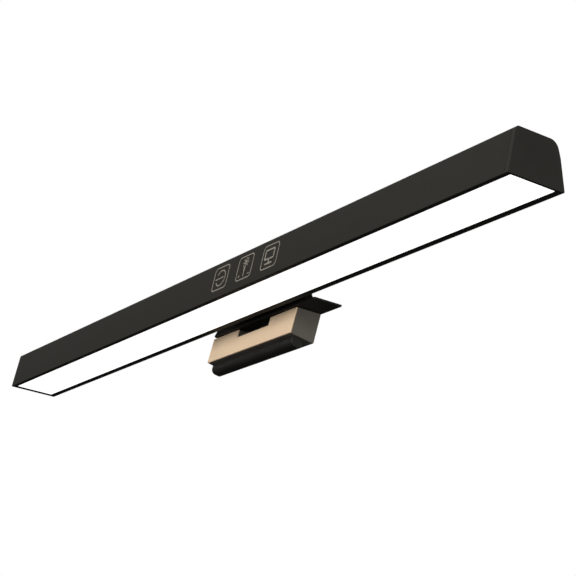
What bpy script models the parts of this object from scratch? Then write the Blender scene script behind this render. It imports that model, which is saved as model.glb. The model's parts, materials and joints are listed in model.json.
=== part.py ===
"""Monitor light bar: a black lamp bar with a white diffuser, on a clip whose sprung rear leg grips a screen.

Frame: metres, +X along the bar, +Y to the rear, +Z up. The origin is on the flat underside of the clip
plate, where the plate rests on the screen's top edge.
Three bodies: the clip plate (fixed), the lamp bar (tilts about the tilt pin), the leg (swings about its pin).
"""

import math

import bmesh
import bpy
from mathutils import Matrix, Vector

MM = 0.001
GAP = 0.3 * MM            # clearance between neighbouring pieces
BOND_GAP = 0.15 * MM      # clearance where one piece is bonded or clamped to another

# Lamp bar, in its own section: y from the front bottom edge to the rear, z up from the underside.
BAR_LENGTH = 450.0 * MM
BAR_DEPTH = 27.7 * MM
BAR_HEIGHT = 19.9 * MM
FRONT_LEAN = 2.6 * MM           # how far the front face leans back at the top
REAR_KNEE_Y = 24.9 * MM         # the rear face leans more above this knee
REAR_KNEE_Z = 13.2 * MM
REAR_TOP_Y = 22.6 * MM
TOP_FRONT_RADIUS = 1.6 * MM
TOP_REAR_RADIUS = 4.6 * MM
REAR_KNEE_RADIUS = 8.0 * MM
BOTTOM_EDGE_RADIUS = 0.3 * MM
WALL = 1.4 * MM
LIP_HEIGHT = 1.9 * MM           # thickness of the frame round the diffuser
FRONT_FRAME = 2.3 * MM
REAR_FRAME = 3.45 * MM
LEFT_CAP = 3.7 * MM
RIGHT_CAP = 2.4 * MM
RIGHT_FRAME = 1.35 * MM
BAR_Y = -33.0 * MM              # the section's corner in the part's frame
BAR_Z = 1.0 * MM

# Light engine inside the bar.
DIFFUSER_DEPTH = 2.2 * MM
DIFFUSER_FLANGE = 0.8 * MM
GUIDE_BOTTOM = 3.3 * MM
GUIDE_THICKNESS = 2.0 * MM
FILM_THICKNESS = 0.25 * MM
BACK_PLATE_THICKNESS = 1.2 * MM
ENGINE_HALF = 218.0 * MM
LED_COUNT = 36
LED_LENGTH = 3.0 * MM

# Touch keys, on the front face.
KEY_CENTRES = (12.6 * MM, 34.7 * MM, 56.7 * MM)
KEY_WIDTH = 11.0 * MM
KEY_NAMES = ("power", "brightness", "screen")

# Power socket in the left end.
SOCKET_Y = 12.0 * MM
SOCKET_Z = 9.6 * MM
SOCKET_WIDTH = 8.9 * MM
SOCKET_HEIGHT = 3.2 * MM
SOCKET_WALL = 0.3 * MM

# Clip plate.
PLATE_LEFT = -38.9 * MM
PLATE_RIGHT = 52.4 * MM
PLATE_FRONT = -3.05 * MM
PLATE_REAR = 12.5 * MM
PLATE_THICKNESS = 0.8 * MM
FLANGE_THICKNESS = 0.6 * MM     # the plate's upturned front edge
FLANGE_TOP = 2.9 * MM
FLANGE_MIDDLE_TOP = 2.3 * MM     # lower between the ears, under the hinge barrel
FLANGE_RIGHT = 49.2 * MM
FLANGE_FILLET = 2.5 * MM
SHROUD_Y = 1.3 * MM             # upturned wall behind the hinge barrel
SHROUD_THICKNESS = 0.8 * MM
SHROUD_TOP = 7.6 * MM

# Tilt hinge between the plate and the bar.
TILT_Y = -1.7 * MM
TILT_Z = 5.6 * MM
TILT_X = 8.0 * MM
EAR_INNER = 22.0 * MM
EAR_THICKNESS = 2.5 * MM
EAR_RADIUS = 2.8 * MM
WASHER = 0.6 * MM
TILT_PIN_RADIUS = 1.1 * MM
TILT_BORE_RADIUS = 1.3 * MM
BARREL_RADIUS = 2.6 * MM
BRACKET_LEFT = -25.0 * MM
BRACKET_RIGHT = 52.0 * MM
BRACKET_THICKNESS = 0.7 * MM
BRACKET_BEND = 1.2 * MM
BRACKET_HEIGHT = 12.4 * MM
BRACKET_SCREWS = (-9.0 * MM, 25.0 * MM)
BRACKET_SCREW_Z = 10.2 * MM

# Leg: its own frame has its origin on the hinge pin, and leans with the closed leg.
LEG_PIN_Y = 10.2 * MM
LEG_PIN_Z = -1.95 * MM
LEG_LEAN = math.radians(9.5)
LEG_X = -2.3 * MM
LEG_HALF = 38.4 * MM
LEG_FRONT = -12.4 * MM
LEG_REAR = 1.2 * MM
LEG_TOP = 1.6 * MM              # distance from the pin to the top, under the plate
LEG_BOTTOM = -13.7 * MM
PAD_THICKNESS = 0.8 * MM
NOTCH_HALF = 14.65 * MM
NOTCH_X = -1.7 * MM
LEG_CORNER_RADIUS = 0.7 * MM
NOTCH_FLOOR = -4.75 * MM
LEG_PIN_RADIUS = 0.75 * MM
LEG_BORE_RADIUS = 0.95 * MM
KNUCKLE_RADIUS = 1.6 * MM
KNUCKLE_INNER = 9.0 * MM
KNUCKLE_OUTER = 13.0 * MM
WEIGHT_HALF = 24.2 * MM
COVER_HALF = 35.2 * MM
COVER_SCREW_X = 30.0 * MM
COVER_SCREW_Z = -9.3 * MM
FOOT_FRONT = -9.7 * MM
FOOT_REAR = -3.8 * MM
FOOT_BOTTOM = -18.4 * MM
FOOT_HALF = 37.0 * MM
SPRING_COIL_RADIUS = 1.35 * MM
SPRING_WIRE_RADIUS = 0.28 * MM
SPRING_TURNS = 10
SPRING_HALF = 3.6 * MM

front_slope = FRONT_LEAN / BAR_HEIGHT
rear_slope = (BAR_DEPTH - REAR_KNEE_Y) / REAR_KNEE_Z
upper_slope = (REAR_KNEE_Y - REAR_TOP_Y) / (BAR_HEIGHT - REAR_KNEE_Z)
front_stretch = math.hypot(1.0, front_slope)
rear_stretch = math.hypot(1.0, rear_slope)
upper_stretch = math.hypot(1.0, upper_slope)


def clear_scene():
    for item in list(bpy.data.objects):
        bpy.data.objects.remove(item, do_unlink=True)


# Materials ------------------------------------------------------------------------------------------


def material(name, colour, roughness, metallic=0.0, glow=0.0):
    made = bpy.data.materials.new(name)
    made.use_nodes = True
    shader = made.node_tree.nodes["Principled BSDF"]
    shader.inputs["Base Color"].default_value = (*colour, 1.0)
    shader.inputs["Roughness"].default_value = roughness
    shader.inputs["Metallic"].default_value = metallic
    if glow:
        shader.inputs["Emission Color"].default_value = (*colour, 1.0)
        shader.inputs["Emission Strength"].default_value = glow
    return made


# Outlines -------------------------------------------------------------------------------------------


def rounded(corners, steps=6):
    """A closed outline from (a, b, radius) corners, with each corner turned into an arc."""
    outline = []
    for index, (a, b, radius) in enumerate(corners):
        here = Vector((a, b))
        if radius <= 0.0:
            outline.append(here)
            continue
        before = Vector(corners[index - 1][:2]) - here
        after = Vector(corners[(index + 1) % len(corners)][:2]) - here
        before.normalize()
        after.normalize()
        half_angle = before.angle(after) / 2.0
        middle = (before + after).normalized()
        centre = here + middle * (radius / math.sin(half_angle))
        reach = radius / math.tan(half_angle)
        spoke = here + before * reach - centre
        turn = spoke.angle_signed(here + after * reach - centre)
        for step in range(steps + 1):
            outline.append(centre + Matrix.Rotation(-turn * step / steps, 2) @ spoke)
    return [(point.x, point.y) for point in outline]


def arc(centre_a, centre_b, radius, first, last, steps=12):
    """Points on an arc, by angles in degrees."""
    points = []
    for step in range(steps + 1):
        angle = math.radians(first + (last - first) * step / steps)
        points.append((centre_a + radius * math.cos(angle), centre_b + radius * math.sin(angle)))
    return points


def rectangle(a0, b0, a1, b1):
    return [(a0, b0), (a1, b0), (a1, b1), (a0, b1)]


def rounded_rectangle(a0, b0, a1, b1, radius, steps=4):
    corners = [(a0, b0, radius), (a1, b0, radius), (a1, b1, radius), (a0, b1, radius)]
    return rounded(corners, steps)


def front_line(z, inset=0.0):
    """y of the bar's front face at height z, or of a line parallel to it, further in."""
    return front_slope * z + inset * front_stretch


def rear_line(z, inset=0.0):
    """y of the bar's rear face at height z, or of a line parallel to it, further in."""
    return BAR_DEPTH - rear_slope * z - inset * rear_stretch


def upper_line(z, inset=0.0):
    """y of the rear face's upper part, which leans more, at height z, or of a line parallel to it."""
    return REAR_KNEE_Y - upper_slope * (z - REAR_KNEE_Z) - inset * upper_stretch


def knee(inset):
    """Where the rear face's lower and upper lines meet, both inset."""
    gained = inset * (upper_stretch - rear_stretch)
    z = REAR_KNEE_Z - gained / (upper_slope - rear_slope)
    return (rear_line(z, inset), z)


# Solids ---------------------------------------------------------------------------------------------


def new_object(name, mesh_data, finish, parent=None):
    mesh = bpy.data.meshes.new(name)
    bmesh.ops.recalc_face_normals(mesh_data, faces=mesh_data.faces)
    mesh_data.to_mesh(mesh)
    mesh_data.free()
    made = bpy.data.objects.new(name, mesh)
    bpy.context.scene.collection.objects.link(made)
    if finish:
        mesh.materials.append(finish)
    if parent:
        made.parent = parent
    return made


def smooth(item, degrees=35.0):
    item.data.shade_smooth()
    item.data.set_sharp_from_angle(angle=math.radians(degrees))
    return item


def prism(name, outline, start, end, finish=None, parent=None, along="X"):
    """The outline pushed along X, Y or Z. It is given in the other two axes, in X, Y, Z order."""
    place = {
        "X": lambda a, b, c: (c, a, b),
        "Y": lambda a, b, c: (a, c, b),
        "Z": lambda a, b, c: (a, b, c),
    }[along]
    data = bmesh.new()
    first = [data.verts.new(place(a, b, start)) for a, b in outline]
    last = [data.verts.new(place(a, b, end)) for a, b in outline]
    count = len(outline)
    data.faces.new(first)
    data.faces.new(list(reversed(last)))
    for index in range(count):
        following = (index + 1) % count
        data.faces.new((first[index], last[index], last[following], first[following]))
    return new_object(name, data, finish, parent)


def turned(name, base, direction, profile, finish=None, parent=None, segments=24):
    """A solid of revolution. The profile holds (distance along the axis, radius), radius 0 at both ends."""
    axis = Vector(direction).normalized()
    side = axis.orthogonal().normalized()
    other = axis.cross(side)
    data = bmesh.new()
    rings = []
    for distance, radius in profile:
        centre = Vector(base) + axis * distance
        if radius == 0.0:
            rings.append([data.verts.new(centre)])
            continue
        ring = []
        for step in range(segments):
            angle = 2.0 * math.pi * step / segments
            spoke = side * math.cos(angle) + other * math.sin(angle)
            ring.append(data.verts.new(centre + spoke * radius))
        rings.append(ring)
    for near, far in zip(rings, rings[1:]):
        for step in range(segments):
            following = (step + 1) % segments
            corners = [near[step % len(near)], near[following % len(near)]]
            corners += [far[following % len(far)], far[step % len(far)]]
            data.faces.new(list(dict.fromkeys(corners)))
    return smooth(new_object(name, data, finish, parent))


def rod(name, base, direction, length, radius, finish=None, parent=None, segments=24):
    profile = [(0.0, 0.0), (0.0, radius), (length, radius), (length, 0.0)]
    return turned(name, base, direction, profile, finish, parent, segments)


def join_with(target, other, operation):
    modifier = target.modifiers.new(operation.lower(), "BOOLEAN")
    modifier.operation = operation
    modifier.solver = "EXACT"
    modifier.object = other
    other.hide_render = True
    other.display_type = "WIRE"


def add(target, other):
    join_with(target, other, "UNION")


def cut(target, other):
    join_with(target, other, "DIFFERENCE")


def pivot(name, location, lean=0.0):
    empty = bpy.data.objects.new(name, None)
    empty.location = location
    empty.rotation_euler = (lean, 0.0, 0.0)
    bpy.context.scene.collection.objects.link(empty)
    return empty


# Lamp bar -------------------------------------------------------------------------------------------


def outer_section():
    return rounded(
        [
            (0.0, 0.0, BOTTOM_EDGE_RADIUS),
            (FRONT_LEAN, BAR_HEIGHT, TOP_FRONT_RADIUS),
            (REAR_TOP_Y, BAR_HEIGHT, TOP_REAR_RADIUS),
            (*knee(0.0), REAR_KNEE_RADIUS),
            (BAR_DEPTH, 0.0, BOTTOM_EDGE_RADIUS),
        ],
        steps=8,
    )


def housing_section():
    """The shell's section: the outer profile, open below between the two lips that frame the diffuser."""
    ceiling = BAR_HEIGHT - WALL
    return rounded(
        [
            (0.0, 0.0, BOTTOM_EDGE_RADIUS),
            (FRONT_LEAN, BAR_HEIGHT, TOP_FRONT_RADIUS),
            (REAR_TOP_Y, BAR_HEIGHT, TOP_REAR_RADIUS),
            (*knee(0.0), REAR_KNEE_RADIUS),
            (BAR_DEPTH, 0.0, BOTTOM_EDGE_RADIUS),
            (BAR_DEPTH - REAR_FRAME, 0.0, 0.0),
            (BAR_DEPTH - REAR_FRAME, LIP_HEIGHT, 0.0),
            (rear_line(LIP_HEIGHT, WALL), LIP_HEIGHT, 0.0),
            (*knee(WALL), REAR_KNEE_RADIUS - WALL),
            (upper_line(ceiling, WALL), ceiling, TOP_REAR_RADIUS - WALL),
            (front_line(ceiling, WALL), ceiling, 0.2 * MM),
            (front_line(LIP_HEIGHT, WALL), LIP_HEIGHT, 0.0),
            (FRONT_FRAME, LIP_HEIGHT, 0.0),
            (FRONT_FRAME, 0.0, 0.0),
        ],
        steps=8,
    )


def leaning_strip(inset, thickness, bottom, top):
    """A section parallel to the inside of the front wall, from inset inwards."""
    return [
        (front_line(bottom, inset), bottom),
        (front_line(bottom, inset + thickness), bottom),
        (front_line(top, inset + thickness), top),
        (front_line(top, inset), top),
    ]


def rear_strip(inset, thickness, bottom, top):
    """A section parallel to the rear wall, from inset inwards. A negative inset is outside the bar."""
    return [
        (rear_line(bottom, inset), bottom),
        (rear_line(bottom, inset + thickness), bottom),
        (rear_line(top, inset + thickness), top),
        (rear_line(top, inset), top),
    ]


def lamp_shell(black, cap_black, bar):
    half = BAR_LENGTH / 2.0
    housing = prism(
        "bar_housing",
        housing_section(),
        -half + LEFT_CAP + BOND_GAP,
        half - RIGHT_CAP - BOND_GAP,
        black,
        bar,
    )
    recess_top = BRACKET_THICKNESS + BOND_GAP
    recess = prism(
        "bracket_recess_cutter",
        rectangle(BAR_DEPTH - REAR_FRAME - 1.0 * MM, -1.0 * MM, BAR_DEPTH + 1.0 * MM, recess_top),
        BRACKET_LEFT - GAP,
        BRACKET_RIGHT + GAP,
        parent=bar,
    )
    cut(housing, recess)
    for index, x in enumerate(BRACKET_SCREWS):
        base = bracket_screw_point(x, WALL + 1.5 * MM)
        hole = rod(f"housing_screw_cutter_{index}", base, rear_normal(), 6.0 * MM, 1.5 * MM, parent=bar)
        cut(housing, hole)
    smooth(housing, 20.0)

    left = prism("left_end_cap", outer_section(), -half, -half + LEFT_CAP, cap_black, bar)
    left_tongue = prism(
        "left_tongue_body",
        rectangle(6.0 * MM, 13.2 * MM, 19.0 * MM, 17.6 * MM),
        -half + LEFT_CAP - 1.0 * MM,
        -half + LEFT_CAP + 4.0 * MM,
        parent=bar,
    )
    add(left, left_tongue)
    mouth = prism(
        "socket_mouth_cutter",
        socket_outline(GAP),
        -half - 1.0 * MM,
        -half + LEFT_CAP + 1.0 * MM,
        parent=bar,
    )
    cut(left, mouth)
    smooth(left, 20.0)

    right = prism("right_end_cap", outer_section(), half - RIGHT_CAP, half, cap_black, bar)
    right_tongue = prism(
        "right_tongue_body",
        rectangle(6.0 * MM, 9.0 * MM, 19.0 * MM, 17.6 * MM),
        half - RIGHT_CAP - 4.0 * MM,
        half - RIGHT_CAP + 1.0 * MM,
        parent=bar,
    )
    add(right, right_tongue)
    window_end = prism(
        "diffuser_end_cutter",
        rectangle(FRONT_FRAME, -1.0 * MM, BAR_DEPTH - REAR_FRAME, DIFFUSER_DEPTH + GAP),
        half - RIGHT_CAP - 1.0 * MM,
        half - RIGHT_FRAME,
        parent=bar,
    )
    cut(right, window_end)
    smooth(right, 20.0)


def rear_normal():
    """The direction straight out of the bar's rear face."""
    return (0.0, 1.0 / rear_stretch, rear_slope / rear_stretch)


def bracket_screw_point(x, inset):
    """A point on a bracket screw's axis, inset from the bar's rear face (outside it where negative)."""
    outward = Vector(rear_normal())
    return Vector((x, rear_line(BRACKET_SCREW_Z), BRACKET_SCREW_Z)) - outward * inset


def socket_outline(margin):
    """The socket's outline in y and z: a flat oval, grown by margin."""
    half_width = SOCKET_WIDTH / 2.0 + margin
    half_height = SOCKET_HEIGHT / 2.0 + margin
    return rounded_rectangle(
        SOCKET_Y - half_width,
        SOCKET_Z - half_height,
        SOCKET_Y + half_width,
        SOCKET_Z + half_height,
        half_height * 0.99,
        steps=6,
    )


def light_engine(white, clear, board, led_cool, led_warm, film, metal, bar):
    half = BAR_LENGTH / 2.0
    left = -half + LEFT_CAP + GAP
    diffuser = prism(
        "diffuser",
        rectangle(FRONT_FRAME + GAP, 0.0, BAR_DEPTH - REAR_FRAME - GAP, DIFFUSER_DEPTH),
        left,
        half - RIGHT_FRAME - GAP,
        white,
        bar,
    )
    flange_top = DIFFUSER_DEPTH + DIFFUSER_FLANGE
    flange = prism(
        "diffuser_flange_body",
        rectangle(
            front_line(flange_top, WALL) + GAP,
            DIFFUSER_DEPTH,
            rear_line(flange_top, WALL) - GAP,
            flange_top,
        ),
        left,
        half - RIGHT_CAP - GAP,
        parent=bar,
    )
    flange_root = prism(
        "diffuser_root_body",
        rectangle(3.0 * MM, DIFFUSER_DEPTH - 1.0 * MM, 23.0 * MM, flange_top - 0.2 * MM),
        left + 1.0 * MM,
        half - RIGHT_CAP - 1.0 * MM,
        parent=bar,
    )
    add(diffuser, flange_root)
    add(diffuser, flange)

    guide_top = GUIDE_BOTTOM + GUIDE_THICKNESS
    guide_front = 2.6 * MM
    guide_rear = 21.8 * MM
    prism(
        "light_guide",
        rectangle(guide_front, GUIDE_BOTTOM, guide_rear, guide_top),
        -ENGINE_HALF,
        ENGINE_HALF,
        clear,
        bar,
    )
    film_bottom = guide_top + GAP
    film_top = film_bottom + FILM_THICKNESS
    prism(
        "reflector_film",
        rectangle(guide_front, film_bottom, guide_rear, film_top),
        -ENGINE_HALF,
        ENGINE_HALF,
        film,
        bar,
    )
    plate_bottom = film_top + GAP
    prism(
        "heat_spreader",
        rectangle(8.2 * MM, plate_bottom, 22.6 * MM, plate_bottom + BACK_PLATE_THICKNESS),
        -200.0 * MM,
        ENGINE_HALF,
        metal,
        bar,
    )
    prism(
        "led_board",
        rectangle(23.1 * MM, 3.4 * MM, 23.9 * MM, 7.2 * MM),
        -ENGINE_HALF,
        ENGINE_HALF,
        board,
        bar,
    )
    led_row("led_row_cool", 3.4 * MM, 4.3 * MM, led_cool, bar, 0.0)
    led_row("led_row_warm", 4.5 * MM, 5.4 * MM, led_warm, bar, 0.5)


def led_row(name, bottom, top, finish, bar, shift):
    """A strip of light-emitting diodes on one thin carrier, facing the edge of the light guide."""
    pitch = 2.0 * (ENGINE_HALF - 4.0 * MM) / LED_COUNT
    back = 22.9 * MM
    carrier = 22.7 * MM
    face = 22.1 * MM
    outline = [(-ENGINE_HALF, back)]
    outline.append((-ENGINE_HALF, carrier))
    for index in range(LED_COUNT):
        start = -ENGINE_HALF + 4.0 * MM + pitch * (index + 0.1 + 0.5 * shift)
        outline.append((start, carrier))
        outline.append((start, face))
        outline.append((start + LED_LENGTH, face))
        outline.append((start + LED_LENGTH, carrier))
    outline.append((ENGINE_HALF, carrier))
    outline.append((ENGINE_HALF, back))
    prism(name, outline, bottom, top, finish, bar, along="Z")


def controls(board, foam, chip_black, ferrite, plastic, bar):
    first = KEY_CENTRES[0] - 10.6 * MM
    last = KEY_CENTRES[-1] + 10.6 * MM
    electrode_inset = WALL + GAP
    electrode_depth = 1.6 * MM
    board_inset = electrode_inset + electrode_depth + GAP
    board_depth = 1.0 * MM
    for centre, key in zip(KEY_CENTRES, KEY_NAMES):
        prism(
            f"touch_pad_{key}",
            leaning_strip(electrode_inset, electrode_depth, 6.4 * MM, 16.4 * MM),
            centre - KEY_WIDTH / 2.0,
            centre + KEY_WIDTH / 2.0,
            foam,
            bar,
        )
    prism(
        "touch_board",
        leaning_strip(board_inset, board_depth, 6.3 * MM, 17.2 * MM),
        first,
        last,
        board,
        bar,
    )
    behind = board_inset + board_depth + GAP
    chip = leaning_strip(behind, 1.1 * MM, 9.0 * MM, 15.0 * MM)
    prism("control_chip", chip, 19.0 * MM, 25.0 * MM, chip_black, bar)
    coil = leaning_strip(behind, 2.8 * MM, 8.6 * MM, 14.6 * MM)
    prism("driver_coil", coil, 40.0 * MM, 46.0 * MM, ferrite, bar)
    connector = leaning_strip(behind, 2.6 * MM, 8.4 * MM, 12.4 * MM)
    prism("lead_connector", connector, 5.0 * MM, 11.0 * MM, plastic, bar)


def power_inlet(steel, tongue_black, board, wire, bar):
    half = BAR_LENGTH / 2.0
    mouth = -half + 0.2 * MM
    back = -half + 7.5 * MM
    shell = prism("usb_shell", socket_outline(0.0), mouth, back, steel, bar)
    hollow = prism(
        "usb_hollow_cutter",
        socket_outline(-SOCKET_WALL),
        mouth - 1.0 * MM,
        back - 0.8 * MM,
        parent=bar,
    )
    cut(shell, hollow)
    smooth(shell, 30.0)
    prism(
        "usb_tongue",
        rounded_rectangle(
            SOCKET_Y - 3.3 * MM,
            SOCKET_Z - 0.35 * MM,
            SOCKET_Y + 3.3 * MM,
            SOCKET_Z + 0.35 * MM,
            0.2 * MM,
            steps=2,
        ),
        mouth + 1.0 * MM,
        back - 0.8 * MM - GAP,
        tongue_black,
        bar,
    )
    board_top = SOCKET_Z - SOCKET_HEIGHT / 2.0 - GAP
    prism(
        "usb_board",
        rectangle(6.0 * MM, board_top - 0.8 * MM, 18.0 * MM, board_top),
        -half + LEFT_CAP + GAP,
        -204.0 * MM,
        board,
        bar,
    )
    route = [
        Vector((-205.0 * MM, SOCKET_Y, board_top + 1.2 * MM)),
        Vector((-190.0 * MM, 13.5 * MM, 9.6 * MM)),
        Vector((-100.0 * MM, 14.5 * MM, 9.6 * MM)),
        Vector((-20.0 * MM, 13.0 * MM, 9.8 * MM)),
        Vector((4.4 * MM, 8.3 * MM, 10.6 * MM)),
    ]
    tube("power_lead", smooth_route(route, 4), 0.7 * MM, 8, wire, bar)


def smooth_route(points, steps):
    """Points on a smooth curve through the given ones."""
    padded = [points[0]] + points + [points[-1]]
    out = []
    for index in range(len(points) - 1):
        before, start, end, after = padded[index : index + 4]
        for step in range(steps):
            t = step / steps
            out.append(
                0.5
                * (
                    2.0 * start
                    + (end - before) * t
                    + (2.0 * before - 5.0 * start + 4.0 * end - after) * t * t
                    + (3.0 * start - before - 3.0 * end + after) * t * t * t
                )
            )
    out.append(points[-1])
    return out


def tilt_bracket(steel, screw_steel, metal, bar):
    """Pressed bracket: a flange under the bar's rear lip, a web up its rear face, and the hinge barrel."""
    outside = -(BOND_GAP + BRACKET_THICKNESS)
    tip = BAR_DEPTH - REAR_FRAME + GAP
    outline = rounded(
        [
            (tip, 0.0, 0.15 * MM),
            (tip, BRACKET_THICKNESS, 0.15 * MM),
            (rear_line(BRACKET_THICKNESS, -BOND_GAP), BRACKET_THICKNESS, 0.0),
            (rear_line(BRACKET_HEIGHT, -BOND_GAP), BRACKET_HEIGHT, 0.0),
            (rear_line(BRACKET_HEIGHT, outside), BRACKET_HEIGHT, 0.3 * MM),
            (rear_line(0.0, outside), 0.0, BRACKET_BEND),
        ],
        steps=4,
    )
    bracket = prism("tilt_bracket", outline, BRACKET_LEFT, BRACKET_RIGHT, steel, bar)
    pin_y = TILT_Y - BAR_Y
    pin_z = TILT_Z - BAR_Z
    barrel_half = EAR_INNER - WASHER - 3.0 * BOND_GAP
    root_inset = -BOND_GAP - BRACKET_THICKNESS / 2.0
    root_low = pin_z - BARREL_RADIUS + 0.1 * MM
    root_high = pin_z + BARREL_RADIUS - 0.1 * MM
    barrel = prism(
        "barrel_body",
        [(rear_line(root_high, root_inset), root_high), (rear_line(root_low, root_inset), root_low)]
        + arc(pin_y, pin_z, BARREL_RADIUS, -90.0, 90.0, 16),
        TILT_X - barrel_half,
        TILT_X + barrel_half,
        parent=bar,
    )
    add(bracket, barrel)
    bore = rod(
        "barrel_bore_cutter",
        (TILT_X - barrel_half - 2.0 * MM, pin_y, pin_z),
        (1.0, 0.0, 0.0),
        2.0 * barrel_half + 4.0 * MM,
        TILT_BORE_RADIUS,
        parent=bar,
    )
    cut(bracket, bore)
    for index, x in enumerate(BRACKET_SCREWS):
        base = bracket_screw_point(x, 0.0)
        hole = rod(f"bracket_hole_cutter_{index}", base, rear_normal(), 3.0 * MM, 1.45 * MM, parent=bar)
        cut(bracket, hole)
        face = bracket_screw_point(x, outside - BOND_GAP)
        inward = [-part for part in rear_normal()]
        shank = 1.15 * MM
        head = 2.2 * MM
        profile = [(-1.2 * MM, 0.0), (-1.2 * MM, head * 0.8), (-0.8 * MM, head), (0.0, head)]
        profile += [(0.0, shank), (4.4 * MM, shank), (4.4 * MM, 0.0)]
        side = "left" if index == 0 else "right"
        turned(f"bracket_screw_{side}", face, inward, profile, screw_steel, bar)
    smooth(bracket, 30.0)

    nut_plate = prism(
        "nut_plate",
        rear_strip(WALL + BOND_GAP, 1.4 * MM, 8.4 * MM, 12.8 * MM),
        BRACKET_SCREWS[0] - 5.0 * MM,
        BRACKET_SCREWS[1] + 5.0 * MM,
        metal,
        bar,
    )
    for index, x in enumerate(BRACKET_SCREWS):
        base = bracket_screw_point(x, WALL + 3.0 * MM)
        hole = rod(f"nut_hole_cutter_{index}", base, rear_normal(), 6.0 * MM, 1.35 * MM, parent=bar)
        cut(nut_plate, hole)


# Clip -----------------------------------------------------------------------------------------------


def clip(steel, pin_steel, washer_plastic):
    plate = prism(
        "clip_plate",
        rounded(
            [
                (PLATE_LEFT, PLATE_FRONT, 0.8 * MM),
                (PLATE_RIGHT, PLATE_FRONT, 0.8 * MM),
                (PLATE_RIGHT, PLATE_REAR, 0.5 * MM),
                (PLATE_LEFT, PLATE_REAR, 0.5 * MM),
            ],
            steps=8,
        ),
        0.0,
        PLATE_THICKNESS,
        steel,
        along="Z",
    )
    root_z = 0.4 * PLATE_THICKNESS
    fillet_x = FLANGE_RIGHT + FLANGE_FILLET
    fillet_z = PLATE_THICKNESS + FLANGE_FILLET
    fillet_end = 180.0 + math.degrees(math.asin((fillet_z - FLANGE_TOP) / FLANGE_FILLET))
    step_x = EAR_INNER + EAR_THICKNESS / 2.0
    flange = prism(
        "front_flange_body",
        [(PLATE_LEFT + 0.2 * MM, root_z), (fillet_x, root_z)]
        + arc(fillet_x, fillet_z, FLANGE_FILLET, 270.0, fillet_end, 8)
        + [
            (TILT_X + step_x, FLANGE_TOP),
            (TILT_X + step_x, FLANGE_MIDDLE_TOP),
            (TILT_X - step_x, FLANGE_MIDDLE_TOP),
            (TILT_X - step_x, FLANGE_TOP),
            (PLATE_LEFT + 2.7 * MM, FLANGE_TOP),
            (PLATE_LEFT + 0.2 * MM, PLATE_THICKNESS),
        ],
        PLATE_FRONT,
        PLATE_FRONT + FLANGE_THICKNESS,
        along="Y",
    )
    add(plate, flange)
    shroud = prism(
        "hinge_shroud_body",
        rectangle(SHROUD_Y, root_z, SHROUD_Y + SHROUD_THICKNESS, SHROUD_TOP),
        TILT_X - EAR_INNER - 0.5 * MM,
        TILT_X + EAR_INNER + 0.5 * MM,
    )
    add(plate, shroud)
    for index, side in enumerate((-1.0, 1.0)):
        inner = TILT_X + side * EAR_INNER
        outer = TILT_X + side * (EAR_INNER + EAR_THICKNESS)
        ear = prism(
            f"ear_body_{index}",
            [(PLATE_FRONT + 0.2 * MM, root_z), (PLATE_FRONT + 8.0 * MM, root_z)]
            + arc(TILT_Y, TILT_Z, EAR_RADIUS, 25.0, 195.0, 14),
            min(inner, outer),
            max(inner, outer),
        )
        add(plate, ear)
    for index, side in enumerate((-1.0, 1.0)):
        inner = LEG_X + side * KNUCKLE_INNER
        outer = LEG_X + side * KNUCKLE_OUTER
        knuckle = prism(
            f"knuckle_body_{index}",
            arc(LEG_PIN_Y, LEG_PIN_Z, KNUCKLE_RADIUS, -180.0, 0.0, 14)
            + [(LEG_PIN_Y + KNUCKLE_RADIUS, root_z), (LEG_PIN_Y - KNUCKLE_RADIUS, root_z)],
            min(inner, outer),
            max(inner, outer),
        )
        add(plate, knuckle)
    tilt_bore = rod(
        "ear_bore_cutter",
        (TILT_X - 30.0 * MM, TILT_Y, TILT_Z),
        (1.0, 0.0, 0.0),
        60.0 * MM,
        TILT_BORE_RADIUS,
    )
    cut(plate, tilt_bore)
    leg_bore = rod(
        "knuckle_bore_cutter",
        (LEG_X - 16.0 * MM, LEG_PIN_Y, LEG_PIN_Z),
        (1.0, 0.0, 0.0),
        32.0 * MM,
        LEG_BORE_RADIUS,
    )
    cut(plate, leg_bore)
    smooth(plate, 30.0)

    outer_face = EAR_INNER + EAR_THICKNESS
    shaft_start = TILT_X - outer_face - 3.1 * MM
    head_start = outer_face * 2.0 + 3.1 * MM + GAP
    head_depth = 1.8 * MM
    head_radius = 2.3 * MM
    profile = [(0.0, 0.0), (0.0, TILT_PIN_RADIUS - 0.2 * MM), (0.2 * MM, TILT_PIN_RADIUS)]
    profile += [(head_start, TILT_PIN_RADIUS), (head_start, head_radius)]
    head_top = head_start + head_depth
    profile += [(head_top - 0.5 * MM, head_radius), (head_top, head_radius * 0.75), (head_top, 0.0)]
    turned("tilt_pin", (shaft_start, TILT_Y, TILT_Z), (1.0, 0.0, 0.0), profile, pin_steel)

    nut = prism(
        "lock_nut",
        arc(TILT_Y, TILT_Z, 2.6 * MM, 0.0, 300.0, 5),
        TILT_X - outer_face - GAP - 2.2 * MM,
        TILT_X - outer_face - GAP,
        pin_steel,
    )
    nut_bore = rod(
        "nut_bore_cutter",
        (TILT_X - outer_face - 5.0 * MM, TILT_Y, TILT_Z),
        (1.0, 0.0, 0.0),
        6.0 * MM,
        TILT_BORE_RADIUS,
    )
    cut(nut, nut_bore)

    for side, name in ((-1.0, "left"), (1.0, "right")):
        centre = TILT_X + side * (EAR_INNER - BOND_GAP - WASHER / 2.0)
        ring(f"friction_washer_{name}", centre, WASHER, 2.4 * MM, TILT_BORE_RADIUS, washer_plastic)


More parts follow.
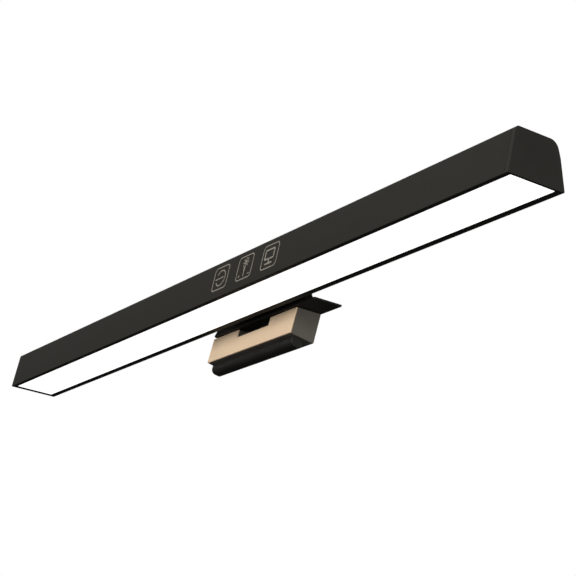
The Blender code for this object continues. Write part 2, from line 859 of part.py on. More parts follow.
def ring(name, centre_x, thickness, outer, inner, finish):
    """A flat washer on the tilt axis."""
    segments = 24
    data = bmesh.new()
    corners = []
    for x in (centre_x - thickness / 2.0, centre_x + thickness / 2.0):
        for radius in (outer, inner):
            circle = []
            for step in range(segments):
                angle = 2.0 * math.pi * step / segments
                y = TILT_Y + radius * math.cos(angle)
                z = TILT_Z + radius * math.sin(angle)
                circle.append(data.verts.new((x, y, z)))
            corners.append(circle)
    near_outer, near_inner, far_outer, far_inner = corners
    pairs = (
        (near_outer, far_outer),
        (far_outer, far_inner),
        (far_inner, near_inner),
        (near_inner, near_outer),
    )
    for first, second in pairs:
        for step in range(segments):
            following = (step + 1) % segments
            data.faces.new((first[step], first[following], second[following], second[step]))
    return smooth(new_object(name, data, finish))


# Leg ------------------------------------------------------------------------------------------------


def leg_top_line(y):
    """Height, in the leg's frame, of its top face, which is level when the leg is closed."""
    return (LEG_TOP + y * math.sin(LEG_LEAN)) / math.cos(LEG_LEAN)


def leg(black, beige, steel, cover_black, rubber, pin_steel, swing):
    body_front = LEG_FRONT + PAD_THICKNESS + BOND_GAP
    outline = rounded(
        [
            (body_front, leg_top_line(body_front), 0.0),
            (body_front, LEG_BOTTOM, 0.3 * MM),
            (LEG_REAR, LEG_BOTTOM, 0.3 * MM),
            (LEG_REAR, leg_top_line(LEG_REAR), LEG_CORNER_RADIUS),
        ],
        steps=5,
    )
    housing = prism("leg_housing", outline, LEG_X - LEG_HALF, LEG_X + LEG_HALF, black, swing)
    notch = prism(
        "notch_cutter",
        rectangle(LEG_FRONT - 2.0 * MM, NOTCH_FLOOR, LEG_REAR + 2.0 * MM, 4.0 * MM),
        NOTCH_X - NOTCH_HALF,
        NOTCH_X + NOTCH_HALF,
        parent=swing,
    )
    cut(housing, notch)
    recess = prism(
        "cover_recess_cutter",
        rectangle(-0.1 * MM, -12.8 * MM, LEG_REAR + 2.0 * MM, -5.9 * MM),
        LEG_X - COVER_HALF - GAP,
        LEG_X + COVER_HALF + GAP,
        parent=swing,
    )
    cut(housing, recess)
    pocket = prism(
        "weight_pocket_cutter",
        rectangle(-9.9 * MM, -11.2 * MM, 0.6 * MM, -7.2 * MM),
        LEG_X - WEIGHT_HALF - GAP,
        LEG_X + WEIGHT_HALF + GAP,
        parent=swing,
    )
    cut(housing, pocket)
    groove = prism(
        "foot_groove_cutter",
        rectangle(-8.3 * MM, -15.0 * MM, -5.7 * MM, -12.2 * MM),
        LEG_X - FOOT_HALF + 1.7 * MM,
        LEG_X + FOOT_HALF - 1.7 * MM,
        parent=swing,
    )
    cut(housing, groove)
    bore_half = 24.6 * MM
    bore = rod(
        "leg_bore_cutter",
        (LEG_X - bore_half, 0.0, 0.0),
        (1.0, 0.0, 0.0),
        2.0 * bore_half,
        LEG_BORE_RADIUS,
        parent=swing,
    )
    cut(housing, bore)
    for index, side in enumerate((-1.0, 1.0)):
        base = (LEG_X + side * COVER_SCREW_X, -6.0 * MM, COVER_SCREW_Z)
        hole = rod(f"leg_screw_cutter_{index}", base, (0.0, 1.0, 0.0), 8.0 * MM, 1.0 * MM, parent=swing)
        cut(housing, hole)
    smooth(housing, 30.0)

    pad_rear = LEG_FRONT + PAD_THICKNESS
    pad = prism(
        "leg_pad",
        [
            (LEG_FRONT, leg_top_line(LEG_FRONT)),
            (LEG_FRONT, LEG_BOTTOM),
            (pad_rear, LEG_BOTTOM),
            (pad_rear, leg_top_line(pad_rear)),
        ],
        LEG_X - LEG_HALF,
        LEG_X + LEG_HALF,
        beige,
        swing,
    )
    pad_notch = prism(
        "pad_notch_cutter",
        rectangle(LEG_FRONT - 2.0 * MM, NOTCH_FLOOR, pad_rear + 2.0 * MM, 4.0 * MM),
        NOTCH_X - NOTCH_HALF,
        NOTCH_X + NOTCH_HALF,
        parent=swing,
    )
    cut(pad, pad_notch)

    prism(
        "leg_weight",
        rectangle(-9.6 * MM, -10.9 * MM, -0.3 * MM, -7.5 * MM),
        LEG_X - WEIGHT_HALF,
        LEG_X + WEIGHT_HALF,
        steel,
        swing,
    )
    cover_front = -0.1 * MM + BOND_GAP
    cover = prism(
        "leg_cover",
        rectangle(cover_front, -12.5 * MM, LEG_REAR, -6.2 * MM),
        LEG_X - COVER_HALF,
        LEG_X + COVER_HALF,
        cover_black,
        swing,
    )
    for index, side in enumerate((-1.0, 1.0)):
        x = LEG_X + side * COVER_SCREW_X
        start = (x, -1.0 * MM, COVER_SCREW_Z)
        hole = rod(f"cover_hole_cutter_{index}", start, (0.0, 1.0, 0.0), 5.0 * MM, 1.0 * MM, parent=swing)
        cut(cover, hole)
        shank = 0.8 * MM
        head = 1.6 * MM
        base = (x, -5.4 * MM, COVER_SCREW_Z)
        head_start = 5.4 * MM + LEG_REAR + BOND_GAP
        head_top = head_start + 0.7 * MM
        profile = [(0.0, 0.0), (0.0, shank), (head_start, shank), (head_start, head)]
        profile += [(head_start + 0.4 * MM, head), (head_top, head * 0.75), (head_top, 0.0)]
        name = "left" if index == 0 else "right"
        turned(f"cover_screw_{name}", base, (0.0, 1.0, 0.0), profile, pin_steel, swing, segments=20)

    foot = prism(
        "foot_bar",
        rounded(
            [
                (FOOT_FRONT, LEG_BOTTOM - GAP, 0.3 * MM),
                (FOOT_REAR, LEG_BOTTOM - GAP, 0.3 * MM),
                (FOOT_REAR, FOOT_BOTTOM, 1.2 * MM),
                (FOOT_FRONT, FOOT_BOTTOM, 2.4 * MM),
            ],
            steps=6,
        ),
        LEG_X - FOOT_HALF,
        LEG_X + FOOT_HALF,
        rubber,
        swing,
    )
    foot_tongue = prism(
        "foot_tongue_body",
        rectangle(-8.0 * MM, LEG_BOTTOM - 2.0 * MM, -6.0 * MM, -12.5 * MM),
        LEG_X - FOOT_HALF + 2.0 * MM,
        LEG_X + FOOT_HALF - 2.0 * MM,
        parent=swing,
    )
    add(foot, foot_tongue)
    smooth(foot, 30.0)

    pin_half = bore_half - 0.3 * MM
    pin_start = (LEG_X - pin_half, 0.0, 0.0)
    rod("leg_pin", pin_start, (1.0, 0.0, 0.0), 2.0 * pin_half, LEG_PIN_RADIUS, pin_steel, swing)
    torsion_spring(pin_steel, swing)


def torsion_spring(finish, swing):
    """Spring wire wound round the leg's pin, with one arm that lies forward over the floor of the notch."""
    steps = 12
    centres = []
    total = SPRING_TURNS * steps
    for step in range(total + 1):
        angle = -math.pi / 2.0 + 2.0 * math.pi * step / steps
        x = LEG_X + SPRING_HALF - 2.0 * SPRING_HALF * step / total
        y = SPRING_COIL_RADIUS * math.cos(angle)
        z = SPRING_COIL_RADIUS * math.sin(angle)
        centres.append(Vector((x, y, z)))
    arm_end = Vector((LEG_X - SPRING_HALF, -8.0 * MM, NOTCH_FLOOR + 0.8 * MM))
    arm_start = centres[-1]
    for step in range(1, 5):
        centres.append(arm_start.lerp(arm_end, step / 4.0) + Vector((-0.2 * MM * min(step, 2), 0.0, 0.0)))
    tube("leg_spring", centres, SPRING_WIRE_RADIUS, 6, finish, swing)


def tube(name, centres, radius, sides, finish, parent):
    """A round wire along the given centres, with flat ends."""
    data = bmesh.new()
    rings = []
    side = None
    for index, centre in enumerate(centres):
        ahead = centres[min(index + 1, len(centres) - 1)]
        behind = centres[max(index - 1, 0)]
        direction = (ahead - behind).normalized()
        if side is None:
            side = direction.orthogonal()
        side = (side - direction * side.dot(direction)).normalized()
        other = direction.cross(side)
        circle = []
        for step in range(sides):
            angle = 2.0 * math.pi * step / sides
            spoke = side * math.cos(angle) + other * math.sin(angle)
            circle.append(data.verts.new(centre + spoke * radius))
        rings.append(circle)
    for near, far in zip(rings, rings[1:]):
        for step in range(sides):
            following = (step + 1) % sides
            data.faces.new((near[step], near[following], far[following], far[step]))
    data.faces.new(list(reversed(rings[0])))
    data.faces.new(rings[-1])
    return smooth(new_object(name, data, finish, parent), 60.0)


# Assembly -------------------------------------------------------------------------------------------


def main():
    clear_scene()
    shell_black = material("shell_black", (0.032, 0.031, 0.027), 0.42)
    cap_black = material("cap_black", (0.023, 0.022, 0.019), 0.55)
    diffuser_white = material("diffuser_white", (0.95, 0.95, 0.94), 0.35, glow=1.0)
    clear_acrylic = material("clear_acrylic", (0.85, 0.9, 0.92), 0.08)
    board_green = material("board_green", (0.03, 0.16, 0.07), 0.5)
    led_cool = material("led_cool", (0.95, 0.93, 0.80), 0.3)
    led_warm = material("led_warm", (0.95, 0.72, 0.25), 0.3)
    film_white = material("film_white", (0.9, 0.9, 0.9), 0.3)
    spreader_grey = material("spreader_grey", (0.62, 0.63, 0.65), 0.35, 1.0)
    foam_grey = material("foam_grey", (0.25, 0.25, 0.26), 0.8)
    chip_black = material("chip_black", (0.02, 0.02, 0.022), 0.4)
    ferrite_grey = material("ferrite_grey", (0.09, 0.09, 0.1), 0.6)
    nylon_white = material("nylon_white", (0.75, 0.74, 0.7), 0.5)
    bare_steel = material("bare_steel", (0.6, 0.6, 0.6), 0.28, 1.0)
    wire_black = material("wire_black", (0.03, 0.03, 0.03), 0.5)
    bracket_grey = material("bracket_grey", (0.06, 0.058, 0.054), 0.4, 0.3)
    plate_black = material("plate_black", (0.02, 0.019, 0.017), 0.5)
    pad_beige = material("pad_beige", (0.68, 0.50, 0.34), 0.6)
    leg_grey = material("leg_grey", (0.09, 0.08, 0.065), 0.5)
    rubber_black = material("rubber_black", (0.018, 0.017, 0.015), 0.45)

    bar_origin = pivot("bar_pivot", (0.0, TILT_Y, TILT_Z))
    bar = pivot("bar_section_origin", (0.0, BAR_Y - TILT_Y, BAR_Z - TILT_Z))
    bar.parent = bar_origin
    swing = pivot("leg_pivot", (0.0, LEG_PIN_Y, LEG_PIN_Z), -LEG_LEAN)

    lamp_shell(shell_black, cap_black, bar)
    light_engine(
        diffuser_white, clear_acrylic, board_green, led_cool, led_warm, film_white, spreader_grey, bar
    )
    controls(board_green, foam_grey, chip_black, ferrite_grey, nylon_white, bar)
    power_inlet(bare_steel, chip_black, board_green, wire_black, bar)
    tilt_bracket(bracket_grey, bare_steel, spreader_grey, bar)
    clip(plate_black, bare_steel, nylon_white)
    leg(leg_grey, pad_beige, spreader_grey, leg_grey, rubber_black, bare_steel, swing)


main()
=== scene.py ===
# Looks of a monitor light bar: finishes, eased edges, printed touch keys and a plain studio.
# Lengths are in metres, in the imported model's frame.

import json
import math

import bmesh
import bpy
from mathutils import Matrix, Vector


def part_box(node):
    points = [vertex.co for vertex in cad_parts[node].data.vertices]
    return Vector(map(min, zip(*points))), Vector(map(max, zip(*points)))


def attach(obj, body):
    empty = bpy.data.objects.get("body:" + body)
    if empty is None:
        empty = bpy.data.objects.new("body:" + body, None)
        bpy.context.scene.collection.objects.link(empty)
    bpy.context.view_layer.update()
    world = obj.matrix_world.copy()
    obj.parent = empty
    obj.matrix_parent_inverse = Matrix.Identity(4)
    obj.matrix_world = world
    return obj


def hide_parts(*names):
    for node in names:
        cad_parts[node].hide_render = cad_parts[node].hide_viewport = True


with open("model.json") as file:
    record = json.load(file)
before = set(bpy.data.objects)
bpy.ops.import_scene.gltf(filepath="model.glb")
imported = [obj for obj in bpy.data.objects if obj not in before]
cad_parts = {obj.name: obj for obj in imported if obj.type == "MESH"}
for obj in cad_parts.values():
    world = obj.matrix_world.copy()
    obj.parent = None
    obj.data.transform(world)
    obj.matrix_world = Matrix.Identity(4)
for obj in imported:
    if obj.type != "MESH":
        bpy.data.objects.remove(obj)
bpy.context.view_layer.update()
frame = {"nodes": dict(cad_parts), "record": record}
bodies = frame["record"]["behaviour"]["bodies"]
body_of = {node: body for body, nodes in bodies.items() for node in nodes}
slot_of = {entry["node"]: entry["material_slot"] for entry in frame["record"]["subparts"]}

MM = 0.001
NOISE_ROUGHNESS = 0.55
EDGE_BAND = 2.0 * MM            # width of the diffuser's less bright edges
EDGE_SHARE = 0.93               # their brightness against the middle's


# Materials: every finish is worked out by nodes, from the pieces' own coordinates.


def shader_nodes(name):
    """A new material, with its node tree, its shader and its object coordinates."""
    made = bpy.data.materials.new(name)
    made.use_nodes = True
    tree = made.node_tree
    shader = tree.nodes["Principled BSDF"]
    place = tree.nodes.new("ShaderNodeTexCoord").outputs["Object"]
    return made, tree, shader, place


def stretched(tree, place, scale):
    """The coordinates times the scale: the axis with the smallest scale is the one drawn out."""
    mapping = tree.nodes.new("ShaderNodeMapping")
    mapping.inputs["Scale"].default_value = scale
    tree.links.new(place, mapping.inputs["Vector"])
    return mapping.outputs["Vector"]


def noise(tree, place, scale, detail=3.0):
    texture = tree.nodes.new("ShaderNodeTexNoise")
    texture.inputs["Scale"].default_value = scale
    texture.inputs["Detail"].default_value = detail
    texture.inputs["Roughness"].default_value = NOISE_ROUGHNESS
    tree.links.new(place, texture.inputs["Vector"])
    return texture.outputs["Fac"]


def cells(tree, place, scale):
    """Distance to the nearest of many scattered points: rounded cells."""
    texture = tree.nodes.new("ShaderNodeTexVoronoi")
    texture.inputs["Scale"].default_value = scale
    tree.links.new(place, texture.inputs["Vector"])
    return texture.outputs["Distance"]


def spread(tree, value, low, high, start=0.3, end=0.7):
    """The value, from start to end, spread over low to high."""
    node = tree.nodes.new("ShaderNodeMapRange")
    node.inputs["From Min"].default_value = start
    node.inputs["From Max"].default_value = end
    node.inputs["To Min"].default_value = low
    node.inputs["To Max"].default_value = high
    tree.links.new(value, node.inputs["Value"])
    return node.outputs["Result"]


def ramp(tree, value, stops):
    """The value turned into a colour by stops, each a position and a colour."""
    node = tree.nodes.new("ShaderNodeValToRGB")
    elements = node.color_ramp.elements
    while len(elements) < len(stops):
        elements.new(0.5)
    for element, (position, colour) in zip(elements, stops):
        element.position = position
        element.color = (*colour, 1.0)
    tree.links.new(value, node.inputs["Fac"])
    return node.outputs["Color"]


def bumped(tree, shader, height, strength, depth):
    """Relief on the surface from the height, at most depth deep."""
    bump = tree.nodes.new("ShaderNodeBump")
    bump.inputs["Strength"].default_value = strength
    bump.inputs["Distance"].default_value = depth
    tree.links.new(height, bump.inputs["Height"])
    tree.links.new(bump.outputs["Normal"], shader.inputs["Normal"])


def scaled(colour, share):
    return tuple(min(1.0, part * share) for part in colour)


def clouded(tree, shader, cloud, colour, tint):
    """The colour, a little darker and lighter by the share tint, as the cloud varies."""
    stops = [(0.3, scaled(colour, 1.0 - tint)), (0.7, scaled(colour, 1.0 + tint))]
    tree.links.new(ramp(tree, cloud, stops), shader.inputs["Base Color"])


def coated(
    name,
    colour,
    roughness,
    specular=0.5,
    tint=0.12,
    grain=0.3,
    grain_scale=2600.0,
    streak=(1.0, 1.0, 1.0),
):
    """A coating or moulding: cloudy colour, uneven roughness and a fine grain that streak draws out."""
    made, tree, shader, place = shader_nodes(name)
    cloud = noise(tree, stretched(tree, place, streak), 60.0, 4.0)
    clouded(tree, shader, cloud, colour, tint)
    fine = noise(tree, stretched(tree, place, streak), grain_scale, 2.0)
    tree.links.new(spread(tree, cloud, roughness - 0.05, roughness + 0.05), shader.inputs["Roughness"])
    bumped(tree, shader, fine, grain, 0.05 * MM)
    shader.inputs["Specular IOR Level"].default_value = specular
    return made


def leathery(name, colour, roughness, grain_scale, grain, tint=0.08, specular=0.35, sheen=0.0):
    """A soft moulded skin: rounded cells with fine creases between them."""
    made, tree, shader, place = shader_nodes(name)
    cloud = noise(tree, place, 45.0, 4.0)
    clouded(tree, shader, cloud, colour, tint)
    tree.links.new(spread(tree, cloud, roughness - 0.06, roughness + 0.06), shader.inputs["Roughness"])
    bumped(tree, shader, cells(tree, place, grain_scale), grain, 0.06 * MM)
    shader.inputs["Specular IOR Level"].default_value = specular
    shader.inputs["Sheen Weight"].default_value = sheen
    return made


def brushed(name, colour, roughness, streak=(1.0, 30.0, 30.0)):
    """Bare metal with fine lines along one direction."""
    made, tree, shader, place = shader_nodes(name)
    lines = noise(tree, stretched(tree, place, streak), 260.0, 5.0)
    stops = [(0.35, scaled(colour, 0.86)), (0.65, scaled(colour, 1.05))]
    tree.links.new(ramp(tree, lines, stops), shader.inputs["Base Color"])
    tree.links.new(spread(tree, lines, roughness - 0.08, roughness + 0.1), shader.inputs["Roughness"])
    bumped(tree, shader, lines, 0.25, 0.02 * MM)
    shader.inputs["Metallic"].default_value = 1.0
    return made


def opal(name, colour, strength):
    """The lit diffuser: opal white, a little less bright along its edges, with a fine frosted surface."""
    made, tree, shader, place = shader_nodes(name)
    low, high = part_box("diffuser")
    middle = (low.y + high.y) / 2.0
    split = tree.nodes.new("ShaderNodeSeparateXYZ")
    tree.links.new(place, split.inputs["Vector"])
    offset = tree.nodes.new("ShaderNodeMath")
    offset.operation = "SUBTRACT"
    offset.inputs[1].default_value = middle
    tree.links.new(split.outputs["Y"], offset.inputs[0])
    distance = tree.nodes.new("ShaderNodeMath")
    distance.operation = "ABSOLUTE"
    tree.links.new(offset.outputs["Value"], distance.inputs[0])
    edge = (high.y - low.y) / 2.0
    fading = edge - EDGE_BAND
    glow = spread(tree, distance.outputs["Value"], strength, strength * EDGE_SHARE, fading, edge)
    tree.links.new(glow, shader.inputs["Emission Strength"])
    frost = noise(tree, place, 3000.0, 2.0)
    tree.links.new(spread(tree, frost, 0.4, 0.6), shader.inputs["Roughness"])
    bumped(tree, shader, frost, 0.2, 0.02 * MM)
    shader.inputs["Base Color"].default_value = (*colour, 1.0)
    shader.inputs["Emission Color"].default_value = (*colour, 1.0)
    return made


def acrylic(name):
    """Clear acrylic with a slight haze."""
    made, tree, shader, place = shader_nodes(name)
    haze = noise(tree, place, 300.0, 2.0)
    tree.links.new(spread(tree, haze, 0.04, 0.1), shader.inputs["Roughness"])
    bumped(tree, shader, cells(tree, place, 900.0), 0.15, 0.02 * MM)
    shader.inputs["Base Color"].default_value = (0.86, 0.92, 0.94, 1.0)
    shader.inputs["Transmission Weight"].default_value = 0.9
    return made


def circuit_board(name):
    """Green solder mask over straight copper tracks."""
    made, tree, shader, place = shader_nodes(name)
    brick = tree.nodes.new("ShaderNodeTexBrick")
    brick.inputs["Scale"].default_value = 260.0
    brick.inputs["Mortar Size"].default_value = 0.06
    brick.inputs["Color1"].default_value = (0.012, 0.09, 0.035, 1.0)
    brick.inputs["Color2"].default_value = (0.016, 0.12, 0.045, 1.0)
    brick.inputs["Mortar"].default_value = (0.05, 0.2, 0.06, 1.0)
    tree.links.new(place, brick.inputs["Vector"])
    tree.links.new(brick.outputs["Color"], shader.inputs["Base Color"])
    bumped(tree, shader, brick.outputs["Fac"], 0.3, 0.03 * MM)
    tree.links.new(spread(tree, noise(tree, place, 200.0), 0.3, 0.45), shader.inputs["Roughness"])
    return made


BLACK = (0.0140, 0.0132, 0.0100)
ALONG_BAR = (0.25, 1.0, 1.0)    # draws the shell's grain out along the bar
materials = {
    "shell_black": coated("shell_black", BLACK, 0.52, 0.3, tint=0.08, grain=0.25, streak=ALONG_BAR),
    "cap_black": leathery("cap_black", (0.0175, 0.0165, 0.013), 0.55, 2600.0, 0.25, specular=0.3),
    "diffuser_white": opal("diffuser_white", (1.0, 1.0, 0.995), 1.15),
    "clear_acrylic": acrylic("clear_acrylic"),
    "board_green": circuit_board("board_green"),
    "led_cool": leathery("led_cool", (0.93, 0.92, 0.78), 0.3, 900.0, 0.2),
    "led_warm": leathery("led_warm", (0.93, 0.70, 0.24), 0.3, 900.0, 0.2),
    "film_white": coated("film_white", (0.88, 0.88, 0.88), 0.3),
    "spreader_grey": brushed("spreader_grey", (0.62, 0.63, 0.65), 0.36),
    "foam_grey": leathery("foam_grey", (0.25, 0.25, 0.26), 0.85, 2200.0, 0.8),
    "chip_black": coated("chip_black", (0.02, 0.02, 0.022), 0.4),
    "ferrite_grey": coated("ferrite_grey", (0.09, 0.09, 0.1), 0.6, grain=0.6),
    "nylon_white": coated("nylon_white", (0.72, 0.71, 0.67), 0.5),
    "bare_steel": brushed("bare_steel", (0.56, 0.56, 0.55), 0.32, (30.0, 30.0, 4.0)),
    "weight_steel": brushed("weight_steel", (0.36, 0.36, 0.36), 0.5),
    "wire_black": coated("wire_black", (0.03, 0.03, 0.03), 0.5),
    # Painted reflection: the bracket is a lighter grey than the other blacks to copy light bounced from
    # the pad onto the strip under the bar.
    "bracket_grey": coated("bracket_grey", (0.045, 0.045, 0.043), 0.6, 0.12, tint=0.1),
    "plate_black": coated("plate_black", (0.016, 0.0155, 0.0135), 0.5, 0.25, tint=0.12, grain=0.4),
    "pad_beige": leathery("pad_beige", (0.78, 0.575, 0.385), 0.62, 1500.0, 0.3, 0.05, 0.3, 0.05),
    "leg_grey": coated("leg_grey", (0.114, 0.103, 0.085), 0.55, 0.3, tint=0.1, grain=0.4),
    "rubber_black": coated("rubber_black", (0.012, 0.0115, 0.010), 0.5, 0.3, tint=0.15, grain=0.5),
}
key_print = coated("key_print", (0.27, 0.24, 0.20), 0.5, 0.3, tint=0.12, grain=0.5, grain_scale=5000.0)


for node, piece in frame["nodes"].items():
    for holder in piece.material_slots:
        holder.material = materials[slot_of[node]]


# Refined pieces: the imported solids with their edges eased.

MERGE_DISTANCE = 0.0005 * MM
FLAT_ANGLE = math.radians(1.0)      # faces that meet flatter than this become one
SHARP_ANGLE = math.radians(28.0)    # edges sharper than this are eased
SMOOTH_ANGLE = math.radians(35.0)
EASE_SEGMENTS = 3


def eased(node, width):
    """The CAD node's own surface with its sharp edges rounded off."""
    mesh = frame["nodes"][node].data.copy()
    mesh.name = f"{node}_eased"
    work = bmesh.new()
    work.from_mesh(mesh)
    bmesh.ops.remove_doubles(work, verts=work.verts, dist=MERGE_DISTANCE)
    bmesh.ops.dissolve_limit(work, angle_limit=FLAT_ANGLE, verts=work.verts, edges=work.edges)
    work.to_mesh(mesh)
    work.free()
    if "custom_normal" in mesh.attributes:
        mesh.attributes.remove(mesh.attributes["custom_normal"])
    piece = bpy.data.objects.new(f"{node}_eased", mesh)
    bpy.context.scene.collection.objects.link(piece)
    bevel = piece.modifiers.new("ease", "BEVEL")
    bevel.width = width
    bevel.segments = EASE_SEGMENTS
    bevel.limit_method = "ANGLE"
    bevel.angle_limit = SHARP_ANGLE
    bevel.use_clamp_overlap = True
    mesh.materials.clear()
    mesh.materials.append(materials[slot_of[node]])
    mesh.shade_smooth()
    mesh.set_sharp_from_angle(angle=SMOOTH_ANGLE)
    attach(piece, body_of[node])
    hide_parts(node)
    return piece


# How far each piece's sharp edges are rounded.
EASED = {
    "bar_housing": 0.25 * MM,
    "left_end_cap": 0.2 * MM,
    "right_end_cap": 0.25 * MM,
    "tilt_bracket": 0.12 * MM,
    "clip_plate": 0.15 * MM,
    "leg_housing": 0.3 * MM,
    "leg_pad": 0.2 * MM,
    "leg_cover": 0.2 * MM,
    "foot_bar": 0.25 * MM,
    "usb_shell": 0.06 * MM,
    "usb_tongue": 0.06 * MM,
    "lock_nut": 0.2 * MM,
    "friction_washer_left": 0.08 * MM,
    "friction_washer_right": 0.08 * MM,
}
refined = {node: eased(node, width) for node, width in EASED.items()}


# Touch keys: thin printed lines on the front face.

FACE_FOOT_Y = -33.0 * MM        # where the leaning front face would meet the bar's underside
FACE_FOOT_Z = 1.0 * MM
FRONT_LEAN = math.atan(2.6 / 19.9)  # the face leans back 2.6 mm over the bar's height of 19.9 mm
PRINT_HEIGHT = 0.05 * MM        # how far the ink stands out of the face
LINE = 0.5 * MM                 # width of a printed line
KEY_CENTRES = (13.2 * MM, 35.2 * MM, 57.0 * MM)
KEY_WIDTH = 12.9 * MM
KEY_HEIGHT = 12.0 * MM
KEY_CORNER = 1.9 * MM
CORNER_STEPS = 5
KEY_MIDDLE = 10.4 * MM          # height of the keys' centre above the bar's underside

along_face = Vector((0.0, math.sin(FRONT_LEAN), math.cos(FRONT_LEAN)))
out_of_face = Vector((0.0, -math.cos(FRONT_LEAN), math.sin(FRONT_LEAN)))


def stroke(points, width, closed=False):
    """The left and right edges of a line of the given width through the points."""
    count = len(points)
    edges = []
    for index, point in enumerate(points):
        here = Vector(point)
        before = Vector(points[index - 1]) if closed or index > 0 else here
        after = Vector(points[(index + 1) % count]) if closed or index < count - 1 else here
        ahead = (after - here).normalized() if after != here else (here - before).normalized()
        behind = (here - before).normalized() if before != here else ahead
        direction = (ahead + behind).normalized()
        side = Vector((-direction.y, direction.x))
        reach = width / 2.0 / max(0.5, direction.dot(ahead))
        edges.append((here + side * reach, here - side * reach))
    return edges


def arc_points(radius, first, last, steps, centre=(0.0, 0.0)):
    """Points along an arc from the first angle to the last, in degrees."""
    points = []
    for step in range(steps + 1):
        angle = math.radians(first + (last - first) * step / steps)
        points.append((centre[0] + radius * math.cos(angle), centre[1] + radius * math.sin(angle)))
    return points


def rounded_frame(width, height, radius, centre=(0.0, 0.0)):
    """Points around a rectangle with rounded corners."""
    points = []
    for quarter, (side_x, side_y) in enumerate(((1, 1), (-1, 1), (-1, -1), (1, -1))):
        corner = (
            centre[0] + side_x * (width / 2.0 - radius),
            centre[1] + side_y * (height / 2.0 - radius),
        )
        points += arc_points(radius, 90.0 * quarter, 90.0 * quarter + 90.0, CORNER_STEPS, corner)
    return points


def printed(name, lines, centre_x):
    """Lines, as (points, closed, width) in the face's own plane, raised as thin ink on the front face."""
    work = bmesh.new()
    foot = Vector((centre_x, FACE_FOOT_Y + math.tan(FRONT_LEAN) * KEY_MIDDLE, FACE_FOOT_Z + KEY_MIDDLE))
    for points, closed, width in lines:
        edges = stroke(points, width, closed)
        rows = []
        for left, right in edges:
            row = []
            for flat, lift in ((left, 1.0), (right, 1.0), (right, -1.0), (left, -1.0)):
                spot = foot + Vector((flat.x, 0.0, 0.0)) + along_face * flat.y
                row.append(work.verts.new(spot + out_of_face * PRINT_HEIGHT * lift))
            rows.append(row)
        pairs = list(zip(rows, rows[1:]))
        if closed:
            pairs.append((rows[-1], rows[0]))
        for near, far in pairs:
            for step in range(4):
                following = (step + 1) % 4
                work.faces.new((near[step], near[following], far[following], far[step]))
        if not closed:
            work.faces.new(rows[0])
            work.faces.new(list(reversed(rows[-1])))
    bmesh.ops.recalc_face_normals(work, faces=work.faces)
    mesh = bpy.data.meshes.new(name)
    work.to_mesh(mesh)
    work.free()
    piece = bpy.data.objects.new(name, mesh)
    bpy.context.scene.collection.objects.link(piece)
    mesh.materials.append(key_print)
    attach(piece, "light_bar")


def key_frame():
    return (rounded_frame(KEY_WIDTH, KEY_HEIGHT, KEY_CORNER), True, LINE)


def power_key():
    """A ring open to the left, with a bar through its opening."""
    ring = arc_points(4.0 * MM, -157.0, 148.0, 26)
    bar = [(-4.7 * MM, -0.2 * MM), (2.6 * MM, 0.1 * MM)]
    return [key_frame(), (ring, False, LINE), (bar, False, LINE)]


def brightness_key():
    """A small sun over a stem, with a mark on each side."""
    sun = Vector((0.1 * MM, 2.5 * MM))
    lines = [key_frame(), (arc_points(0.8 * MM, 0.0, 360.0, 12, sun)[:-1], True, LINE * 1.4)]
    for turn in range(8):
        angle = math.radians(45.0 * turn)
        ray = Vector((math.cos(angle), math.sin(angle)))
        lines.append(([tuple(sun + ray * 1.5 * MM), tuple(sun + ray * 2.6 * MM)], False, LINE * 1.2))
    stem_top = (-0.2 * MM, 0.2 * MM)
    stem_middle = (-0.3 * MM, -1.8 * MM)
    lines.append(([stem_top, stem_middle], False, LINE * 2.2))
    lines.append(([stem_middle, (0.0, -4.6 * MM)], False, LINE))
    lines.append(([(-4.7 * MM, -3.9 * MM), (-3.3 * MM, -3.9 * MM)], False, LINE))
    lines.append(([(-4.0 * MM, -4.6 * MM), (-4.0 * MM, -3.2 * MM)], False, LINE))
    lines.append(([(3.5 * MM, -4.1 * MM), (5.1 * MM, -4.1 * MM)], False, LINE))
    return lines


def screen_key():
    """A screen on its stand."""
    strong = LINE * 1.6
    screen = rounded_frame(7.4 * MM, 4.7 * MM, 0.6 * MM, (-0.5 * MM, 1.2 * MM))
    stem = [(-0.4 * MM, -1.1 * MM), (-0.4 * MM, -3.4 * MM)]
    base = [(-3.4 * MM, -3.6 * MM), (2.6 * MM, -3.6 * MM)]
    return [key_frame(), (screen, True, strong), (stem, False, strong), (base, False, strong)]


for name, lines, centre in zip(
    ("power_print", "brightness_print", "screen_print"),
    (power_key(), brightness_key(), screen_key()),
    KEY_CENTRES,
):
    printed(name, lines, centre)


# Stage: a plain pale floor well below, soft light, and the camera.

FLOOR_Z = -1.5
FLOOR_SIZE = 80.0               # so wide that its far edge lies close to the horizon
FLOOR_GLOW = 0.5                # lifts the floor towards the white of the world

floor_work = bmesh.new()
bmesh.ops.create_grid(floor_work, x_segments=2, y_segments=2, size=FLOOR_SIZE)
floor_mesh = bpy.data.meshes.new("floor")
floor_work.to_mesh(floor_mesh)
floor_work.free()
floor = bpy.data.objects.new("floor", floor_mesh)
floor.location = (0.0, 0.0, FLOOR_Z)
bpy.context.scene.collection.objects.link(floor)
floor_pale = coated("floor_pale", (0.82, 0.82, 0.81), 0.8, 0.2, tint=0.01, grain=0.1, grain_scale=300.0)
floor_shader = floor_pale.node_tree.nodes["Principled BSDF"]
floor_shader.inputs["Emission Color"].default_value = (1.0, 1.0, 0.99, 1.0)
floor_shader.inputs["Emission Strength"].default_value = FLOOR_GLOW
floor_mesh.materials.append(floor_pale)
# The floor lights nothing and isn't mirrored in the lamp.
floor.visible_diffuse = False
floor.visible_glossy = False


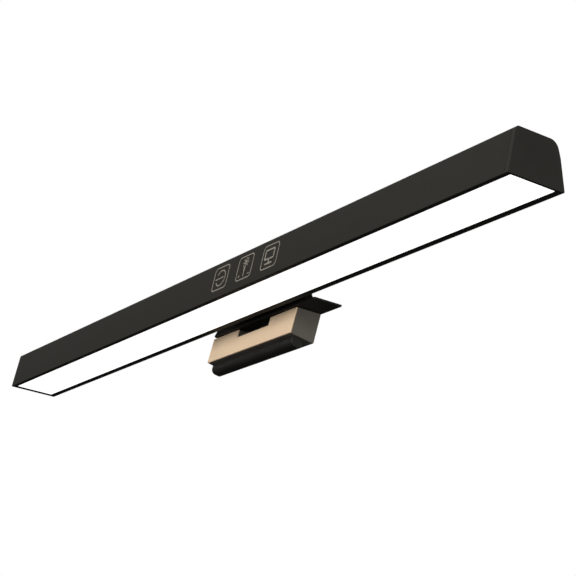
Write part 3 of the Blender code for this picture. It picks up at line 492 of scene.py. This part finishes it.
def area_light(name, location, target, size, power):
    """A rectangular softbox that faces its target; the power is in watts."""
    data = bpy.data.lights.new(name, "AREA")
    data.shape = "RECTANGLE"
    data.size = size[0]
    data.size_y = size[1]
    data.energy = power
    lamp = bpy.data.objects.new(name, data)
    lamp.location = location
    aim = Vector(target) - Vector(location)
    lamp.rotation_euler = aim.to_track_quat("-Z", "Y").to_euler()
    bpy.context.scene.collection.objects.link(lamp)


area_light("front_softbox", (0.45, -1.4, 0.17), (0.0, 0.0, 0.0), (1.5, 0.5), 21.5)
area_light("right_softbox", (1.5, 0.15, -0.35), (0.1, 0.0, 0.0), (0.9, 0.9), 8.5)
area_light("top_softbox", (0.0, -0.2, 1.6), (0.0, 0.0, 0.0), (1.5, 1.5), 8.0)
area_light("rim_softbox", (-1.3, 0.55, 0.8), (0.1, 0.0, 0.0), (0.9, 0.6), 5.0)

# The lit diffuser shows white without throwing light on the clip below it.
frame["nodes"]["diffuser"].visible_diffuse = False
frame["nodes"]["diffuser"].visible_glossy = False

# The camera sees a white world, and the object is lit by a dim one that is brighter above.
AMBIENT_BELOW = 0.03
AMBIENT_ABOVE = 0.24

world = bpy.data.worlds.new("studio")
world.use_nodes = True
bpy.context.scene.world = world
tree = world.node_tree
tree.nodes.clear()
seen = tree.nodes.new("ShaderNodeBackground")
seen.inputs["Color"].default_value = (1.0, 1.0, 1.0, 1.0)
ambient = tree.nodes.new("ShaderNodeBackground")
ambient.inputs["Color"].default_value = (1.0, 0.985, 0.955, 1.0)
direction = tree.nodes.new("ShaderNodeTexCoord")
split = tree.nodes.new("ShaderNodeSeparateXYZ")
tree.links.new(direction.outputs["Generated"], split.inputs["Vector"])
rising = spread(tree, split.outputs["Z"], AMBIENT_BELOW, AMBIENT_ABOVE, -0.1, 0.3)
tree.links.new(rising, ambient.inputs["Strength"])
path = tree.nodes.new("ShaderNodeLightPath")
choice = tree.nodes.new("ShaderNodeMixShader")
output = tree.nodes.new("ShaderNodeOutputWorld")
tree.links.new(path.outputs["Is Camera Ray"], choice.inputs["Fac"])
tree.links.new(ambient.outputs["Background"], choice.inputs[1])
tree.links.new(seen.outputs["Background"], choice.inputs[2])
tree.links.new(choice.outputs["Shader"], output.inputs["Surface"])

# The camera looks up at the bar from its right-hand end.
CAMERA_PLACE = Vector((0.6584, -0.3802, -0.2430))
CAMERA_AIM = Vector((-0.81113, 0.48526, 0.32648))
CAMERA_RIGHT = Vector((0.54053, 0.83516, 0.10161))
LENS_MM = 102.4
SENSOR_MM = 36.0

camera_data = bpy.data.cameras.new("camera")
camera_data.lens = LENS_MM
camera_data.sensor_width = SENSOR_MM
camera_data.clip_start = 0.01
camera = bpy.data.objects.new("camera", camera_data)
bpy.context.scene.collection.objects.link(camera)
back = -CAMERA_AIM.normalized()
right = CAMERA_RIGHT.normalized()
up = back.cross(right)
turn = Matrix((right, up, back)).transposed()
camera.matrix_world = Matrix.Translation(CAMERA_PLACE) @ turn.to_4x4()
bpy.context.scene.camera = camera
bpy.context.scene.view_settings.view_transform = "Standard"
